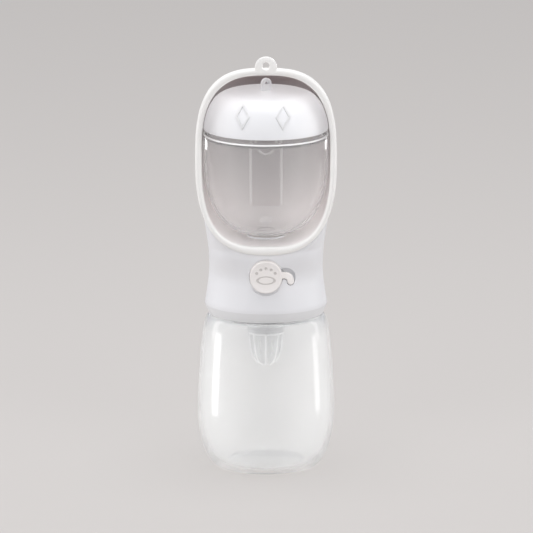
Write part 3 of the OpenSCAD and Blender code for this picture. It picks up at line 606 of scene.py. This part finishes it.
# ---- Button ----
# Warm white moulding with a paw print sunk in its face; its curled lever turns under the waist's
# edge to lock it.
button_white = moulded("button_white", (0.82, 0.79, 0.77, 1), (0.80, 0.77, 0.75, 1), 0.4)
paw_recess_shade = moulded("paw_recess_shade", (0.60, 0.575, 0.555, 1), (0.58, 0.555, 0.535, 1), 0.5)
button_z, button_r, button_face = 116.9, 9.3, 34.2
lever_inner_r, lever_t = 30.4, 2.6
lever_x, lever_y, lever_mid_r, lever_half_w = 10.3, -3.3, 3.9, 1.85

button = turned("lock_button", [
    (0, button_face), (button_r - 1.15, button_face), (button_r - 0.9, button_face + 0.2),
    (button_r - 0.35, button_face + 0.2), (button_r - 0.1, button_face + 0.05),
    (button_r, button_face - 0.3), (button_r, 28), (button_r - 1.4, 28), (button_r - 1.4, 32.2),
    (3.2, 32.2), (3.2, 27.4), (1.65, 27.4), (1.65, 30.5), (0, 30.5)], 96)
toe_arc_r, toe_sunk = 6.5, 0.55
for i in range(5):
    a = math.radians(36 + 27 * i)
    bpy.ops.mesh.primitive_uv_sphere_add(
        segments=20, ring_count=12, radius=1.05 * MM,
        location=(toe_arc_r * math.cos(a) * MM, (toe_arc_r * math.sin(a) - 1.3) * MM,
                  (button_face + toe_sunk) * MM))
    cut(button, bpy.context.object)
bpy.ops.mesh.primitive_torus_add(major_segments=64, minor_segments=12, major_radius=MM,
                                 minor_radius=0.16 * MM,
                                 location=(0, -1.7 * MM, (button_face + 0.12) * MM))
pad_groove = bpy.context.object
pad_groove.scale = (4.9, 2.15, 2.6)
cut(button, pad_groove)


def arc_points(x, y, r, start, end, count):
    return [(x + r * math.cos(math.radians(start + (end - start) * i / count)),
             y + r * math.sin(math.radians(start + (end - start) * i / count)))
            for i in range(count + 1)]


lever_outline = [(lever_x - 3, lever_y + lever_mid_r + lever_half_w)]
lever_outline += arc_points(lever_x, lever_y, lever_mid_r + lever_half_w, 90, 0, 14)
lever_outline += arc_points(lever_x + lever_mid_r, lever_y, lever_half_w, -15, -165, 12)
lever_outline += arc_points(lever_x, lever_y, lever_mid_r - lever_half_w, 0, 90, 8)
lever_outline += [(lever_x - 3, lever_y + lever_mid_r - lever_half_w)]
bpy.ops.object.select_all(action="DESELECT")
bpy.ops.mesh.primitive_circle_add(vertices=len(lever_outline), radius=MM, fill_type="NGON")
lever = bpy.context.object
for vertex, (x, y) in zip(lever.data.vertices, reversed(lever_outline)):
    vertex.co = (x * MM, y * MM, lever_inner_r * MM)
bpy.ops.object.mode_set(mode="EDIT")
bpy.ops.mesh.select_all(action="SELECT")
bpy.ops.mesh.extrude_region_move(TRANSFORM_OT_translate={"value": (0, 0, lever_t * MM)})
close_up(lever)
soften(lever, 0.5, 50, 4)
for vertex in lever.data.vertices:
    vertex.co.z = math.sqrt(vertex.co.z ** 2 - vertex.co.x ** 2)
cut(button, lever, "UNION")
button.rotation_euler = (math.pi / 2, 0, 0)
button.location = (0, 0, button_z * MM)
bpy.ops.object.transform_apply(location=True, rotation=True, scale=True)
soften(button, 0)
finish_piece(button, "button", button_white, "button_white", "button")
# Painted shade: the faces sunk behind the button's face, the paw's toes and pad groove, are drawn
# in a darker tone.
button.data.materials.append(paw_recess_shade)
for face in button.data.polygons:
    x, y, z = face.center / MM
    if math.hypot(x, z - button_z) < button_r - 1.4 and -button_face + 0.04 < y < -button_face + 1:
        face.material_index = 1

# ---- Filter ----
# A clear cap pushed on the inlet carries a clear basket, stiffened by upright ribs, with a fine
# steel screen across its mouth. The basket is pushed over the cap's plug.
clear_filter = clear_plastic("clear_filter", (0.90, 0.90, 0.90, 1), 0.72, 0.05, 0.2)
highlight_white = clear_plastic("highlight_white", (0.98, 0.98, 0.98, 1), 0.12, 0.2, 0.1)
plug_grey = clear_plastic("plug_grey", (0.63, 0.63, 0.64, 1), 0.3, 0.2, 0.1)
steel_mesh = moulded("steel_mesh", (0.55, 0.55, 0.56, 1), (0.4, 0.4, 0.41, 1), 0.35, 3000, 0.4)
steel_mesh.node_tree.nodes["Principled BSDF"].inputs["Metallic"].default_value = 0.8
basket_r, basket_h, basket_top_z, basket_ribs = 10.2, 24.5, 83.5, 8
basket_low_z = basket_top_z - basket_h


def basket_side(t):
    """The basket's outer radius, from 0 at its round bottom to 1 at its rim."""
    return (0.775 + 0.225 * t) * basket_r * (1 - (1 - t) ** 6) ** (1 / 2.2)


finish_piece(soften(merged_copy("filter_cap", "filter_top"), 0), "filter", clear_filter,
             "clear_filter", "filter_cap")
finish_piece(soften(merged_copy("filter_basket", "filter_cup"), 0), "filter", clear_filter,
             "clear_filter", "filter_basket")
# The grey band is the cap's plug, seen through the basket's rim.
band_out_r, band_in_r = basket_r + 0.06, basket_r - 0.3
band_high_z, band_low_z = basket_top_z - 0.2, basket_top_z - 3.2
plug = turned("filter_plug", [(band_out_r, band_high_z), (band_out_r, band_low_z),
                              (band_in_r, band_low_z), (band_in_r, band_high_z),
                              (band_out_r, band_high_z)], 64)
finish_piece(soften(plug, 0), "filter", plug_grey, "clear_filter")
bpy.ops.object.select_all(action="DESELECT")
bpy.ops.mesh.primitive_plane_add(size=MM)
ribs = bpy.context.object
bpy.ops.object.mode_set(mode="EDIT")
bpy.ops.mesh.select_all(action="SELECT")
bpy.ops.mesh.merge(type="CENTER")
rib_r, rib_sunk, ledge_share = 0.6, 0.2, 0.8
rib_shares = [0.03 * 1.35 ** i for i in range(10)] + [0.6, 0.7, ledge_share - 0.01]
rib_path = [(basket_side(t) - rib_sunk, basket_low_z + basket_h * t) for t in rib_shares]
r, z = rib_path[0]
bpy.ops.transform.translate(value=(0, -r * MM, z * MM))
for next_r, next_z in rib_path[1:]:
    bpy.ops.mesh.extrude_region_move(
        TRANSFORM_OT_translate={"value": (0, (r - next_r) * MM, (next_z - z) * MM)})
    r, z = next_r, next_z
bpy.ops.mesh.select_all(action="SELECT")
bpy.ops.mesh.spin(steps=basket_ribs - 1, dupli=True, angle=2 * math.pi * (1 - 1 / basket_ribs),
                  center=(0, 0, 0), axis=(0, 0, 1))
bpy.ops.object.mode_set(mode="OBJECT")
bpy.ops.object.convert(target="CURVE")
ribs.data.bevel_depth = rib_r * MM
ribs.data.bevel_resolution = 3
ribs.data.use_fill_caps = True
bpy.ops.object.convert(target="MESH")
ledge_out_r, ledge_in_r = basket_side(ledge_share) + 0.2, basket_side(ledge_share) - 0.5
ledge_low_z = basket_low_z + basket_h * ledge_share - 0.5
ledge_high_z = ledge_low_z + 1
turned("filter_ledge", [(ledge_out_r, ledge_low_z), (ledge_out_r, ledge_high_z),
                        (ledge_in_r, ledge_high_z), (ledge_in_r, ledge_low_z),
                        (ledge_out_r, ledge_low_z)], 64)
ribs.select_set(True)
bpy.context.view_layer.objects.active = ribs
bpy.ops.object.join()
ribs.name = ribs.data.name = "filter_ribs"
# Painted highlight: the ribs and the ledge are drawn in a near-opaque white, for the bright lines
# that light makes along the clear ribs.
finish_piece(soften(ribs, 0), "filter", highlight_white, "clear_filter")
node["filter_screen"].data.materials.clear()
node["filter_screen"].data.materials.append(steel_mesh)

# ---- Food cup ----
# Injection-moulded clear cup with a rounded bottom, two faint rings round its gate mark and a
# neck inside the lid. It slides out of the trough to the front.
cup_r, cup_wall = 35.8, 1.6
cup_foot_z, cup_shoulder_z, cup_mouth_z = 135.6, 193.92, 202.72
cup_neck_r = 33.0
cup_curve_h, cup_power = 50, 2.7


def cup_walk(inset, count=30):
    """Radii and heights up the rounded bottom, closer together near the side."""
    low, drop = cup_foot_z + inset, cup_curve_h - inset
    points = []
    for i in range(1, count + 1):
        t = math.sin(math.pi / 2 * (1 - i / count))
        points.append(((cup_r - inset) * (1 - t ** cup_power) ** (1 / cup_power),
                       low + drop * (1 - t)))
    return points


cup_outline = [(0, cup_foot_z)] + cup_walk(0)
cup_outline += [(cup_r, cup_shoulder_z), (cup_neck_r, cup_shoulder_z + 0.9),
                (cup_neck_r, cup_mouth_z), (cup_neck_r - cup_wall, cup_mouth_z),
                (cup_neck_r - cup_wall, cup_shoulder_z), (cup_r - cup_wall, cup_shoulder_z - 2)]


def cup_floor(r):
    """Height of the rounded inside at a radius."""
    curve = 1 - (1 - (r / (cup_r - cup_wall)) ** cup_power) ** (1 / cup_power)
    return cup_foot_z + cup_wall + (cup_curve_h - cup_wall) * curve


gate_rings, ring_half_w = ((13.75, 0.06), (4.8, 0.35)), 0.5
outermost = gate_rings[0][0] + ring_half_w
cup_outline += [point for point in reversed(cup_walk(cup_wall)) if point[0] > outermost + 0.25]
for ring_r, ring_h in gate_rings:
    cup_outline += [(ring_r + ring_half_w, cup_floor(ring_r + ring_half_w)),
                    (ring_r, cup_floor(ring_r) + ring_h),
                    (ring_r - ring_half_w, cup_floor(ring_r - ring_half_w))]
cup_outline += [(0, cup_floor(0))]
clear_cup = clear_plastic("clear_cup", (0.985, 0.975, 0.975, 1), 0.89, 0.03, 0.12, bend=1.33,
                          gloss=0.6, coat=0.15)
cup = soften(turned("food_cup_wall", cup_outline), 0.35)
finish_piece(cup, "cup", clear_cup, "clear_cup", "food_cup")
# Painted highlight: a thin near-opaque white ring on the shoulder's moulded edge stands in for the
# line of light that the polished edge catches.
shoulder_highlight = turned("cup_shoulder_highlight", [
    (cup_r - 0.75, cup_shoulder_z + 0.1), (cup_r - 0.3, cup_shoulder_z - 0.3),
    (cup_r + 0.02, cup_shoulder_z - 0.3), (cup_r + 0.06, cup_shoulder_z + 0.1),
    (cup_r - 0.25, cup_shoulder_z + 0.5), (cup_r - 0.75, cup_shoulder_z + 0.55),
    (cup_r - 0.75, cup_shoulder_z + 0.1)], 144)
finish_piece(soften(shoulder_highlight, 0), "cup", highlight_white, "clear_cup")
# Two lamps behind the trough pick out the cup's edges, and light nothing else.
cup_only = bpy.data.collections.new("cup_only")
cup_only.objects.link(cup)
for name, side, power in (("left_edge", -1, 0.16), ("right_edge", 1, 0.12)):
    edge = soft_box(name, (side * 0.30, 0.41, 0.17), (0, 0, 0.17), (0.05, 0.16), power,
                    mirrored=True, through=True)
    edge.light_linking.receiver_collection = cup_only

# ---- Food cup lid ----
# Glossy white domed cap with two raised rhombus outlines and an eyelet for a tether. It turns on
# the cup's neck, a few degrees short of square in the trough.
lid_white = moulded("lid_white", (0.70, 0.702, 0.715, 1), (0.69, 0.692, 0.705, 1), 0.34, 1200, 0.03)
lid_z, lid_h, lid_wall, lid_steps = 197.02, 22.3, 1.5, 40
lid_turned, eyelet_z, eyelet_r, eyelet_half_t = math.radians(-3.5), 223.02, 3.3, 1.3


def lid_radius(rise, r):
    return r * max(0, 1 - rise ** 1.4) ** 0.16


def lid_walk(r, h):
    """From the lower edge to the crown, closer together near the crown."""
    rises = [math.sin(math.pi / 2 * i / lid_steps) for i in range(lid_steps)]
    return [(lid_radius(t, r), lid_z + h * t) for t in rises] + [(0, lid_z + h)]


lid = turned("lid_dome", lid_walk(cup_r, lid_h)
             + list(reversed(lid_walk(cup_r - lid_wall, lid_h - lid_wall)))
             + [(cup_r, lid_z)], 160)
soften(lid, 0.3, 50)
rhombus_w, rhombus_h, rhombus_x, rhombus_up, rhombus_line = 8.3, 14, 11.5, 12.6, 1.0
badges = []
for side in (-1, 1):
    bpy.ops.object.select_all(action="DESELECT")
    bpy.ops.mesh.primitive_circle_add(vertices=4, radius=MM, fill_type="NGON")
    badge = bpy.context.object
    badge.scale = (rhombus_w / 2, rhombus_h / 2, 1)
    bpy.ops.object.transform_apply(location=True, rotation=True, scale=True)
    bpy.ops.object.mode_set(mode="EDIT")
    bpy.ops.mesh.select_all(action="SELECT")
    bpy.ops.mesh.inset(thickness=rhombus_line * MM)
    bpy.ops.mesh.delete(type="FACE")
    bpy.ops.mesh.select_all(action="SELECT")
    bpy.ops.mesh.subdivide(number_cuts=11)
    bpy.ops.object.mode_set(mode="OBJECT")
    for vertex in badge.data.vertices:
        x, z = vertex.co.x / MM + side * rhombus_x, lid_z + rhombus_up + vertex.co.y / MM
        r = lid_radius((z - lid_z) / lid_h, cup_r) - 0.15
        vertex.co = (x * MM, -math.sqrt(r * r - x * x) * MM, z * MM)
    thick = badge.modifiers.new("thick", "SOLIDIFY")
    thick.thickness = 0.6 * MM
    thick.offset = 1
    bpy.ops.object.modifier_apply(modifier=thick.name)
    bpy.ops.object.mode_set(mode="EDIT")
    close_up(badge)
    badges.append(soften(badge, 0.12, 50, 2))
for badge in badges:
    badge.select_set(True)
bpy.ops.object.join()
lid_rhombi = bpy.context.object
lid_rhombi.name = lid_rhombi.data.name = "lid_rhombi"
eyelet = turned("lid_eyelet", [(1.4, -0.9), (1.8, -eyelet_half_t), (2.8, -eyelet_half_t),
                               (eyelet_r, -0.8), (eyelet_r, 0.8), (2.8, eyelet_half_t),
                               (1.8, eyelet_half_t), (1.4, 0.9), (1.4, -0.9)], 48)
eyelet.rotation_euler = (math.pi / 2, 0, math.radians(40))
eyelet.location = (0, 0, eyelet_z * MM)
bpy.ops.object.transform_apply(location=True, rotation=True, scale=True)
bpy.ops.mesh.primitive_cube_add(size=MM, location=(0, 0, (eyelet_z - 2.2) * MM),
                                rotation=(0, 0, math.radians(40)))
base = bpy.context.object
base.scale = (2 * eyelet_r, 2 * eyelet_half_t, 4.4)
bpy.ops.object.transform_apply(location=True, rotation=True, scale=True)
soften(base, 0.3)
soften(eyelet, 0)
cut(eyelet, base, "UNION")
cut(lid, eyelet, "UNION")
badge_satin = moulded("badge_satin", (0.70, 0.70, 0.705, 1), (0.685, 0.685, 0.69, 1), 0.45)
for piece, finish in ((lid, lid_white), (lid_rhombi, badge_satin)):
    soften(piece, 0)
    bpy.ops.object.mode_set(mode="EDIT")
    bpy.ops.mesh.select_all(action="SELECT")
    bpy.ops.transform.rotate(value=-lid_turned, orient_axis="Z", center_override=(0, 0, 0))
    bpy.ops.object.mode_set(mode="OBJECT")
    finish_piece(piece, "lid", finish, "lid_white")
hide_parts("food_lid")
# The lid sits behind the rim, out of the key's reach, so it has wings and an overhead of its own.
lid_only = bpy.data.collections.new("lid_only")
lid_only.objects.link(lid)
for name, side in (("left_lid_wing", -1), ("right_lid_wing", 1)):
    wing = soft_box(name, (side * 1.5, 0.3, 0.35), (0, 0, 0.21), (0.5, 0.5), 4.5, through=True)
    wing.light_linking.receiver_collection = lid_only
lid_overhead = soft_box("lid_overhead", (0, -0.1, 1.3), (0, 0, 0.21), (0.6, 0.5), 0.8, through=True)
lid_overhead.light_linking.receiver_collection = lid_only
